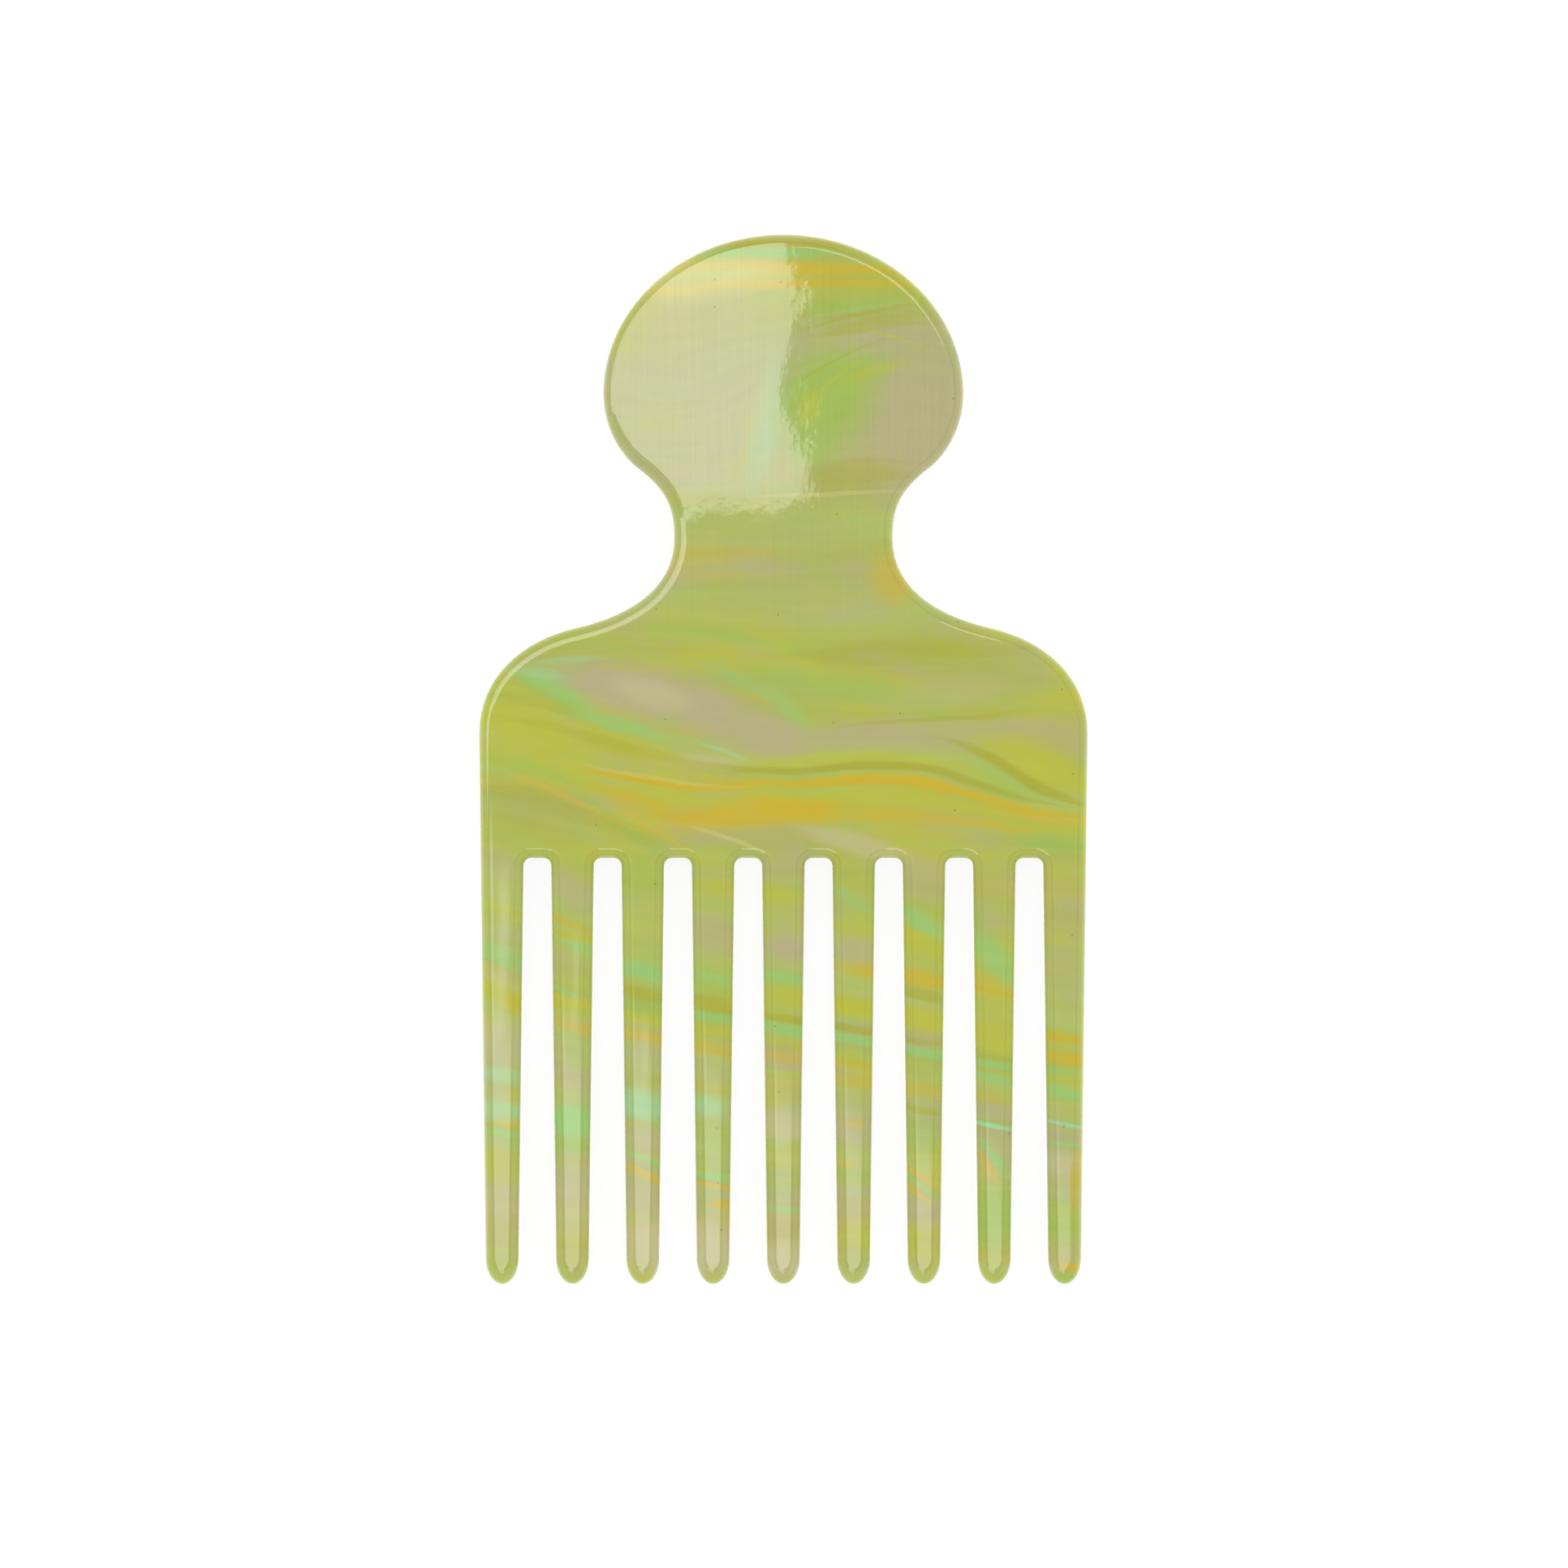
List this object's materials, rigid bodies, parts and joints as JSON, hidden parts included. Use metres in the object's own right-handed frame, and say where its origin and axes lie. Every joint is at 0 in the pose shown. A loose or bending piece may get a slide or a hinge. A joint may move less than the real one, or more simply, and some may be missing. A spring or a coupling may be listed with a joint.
{
  "type": "comb",
  "caption": "Flat wide-tooth hair pick with a round head, a narrow waist, sloping shoulders and long tapered teeth, rounded on every edge.",
  "frame": {"origin": "middle of the comb's outline, on the back face that it lies on", "axes": "+X across the teeth, +Y along the comb from the tips to the head, +Z out of the front face"},
  "size_m": [0.0696, 0.12, 0.004],
  "materials": {
    "acetate": "marbled cellulose acetate, tumbled and buffed to a gloss"
  },
  "bodies": {
    "root": {"handle": "acetate", "back": "acetate", "tooth_1": "acetate", "tooth_2": "acetate", "tooth_3": "acetate", "tooth_4": "acetate", "tooth_5": "acetate", "tooth_6": "acetate", "tooth_7": "acetate", "tooth_8": "acetate", "tooth_9": "acetate"}
  },
  "joints": []
}
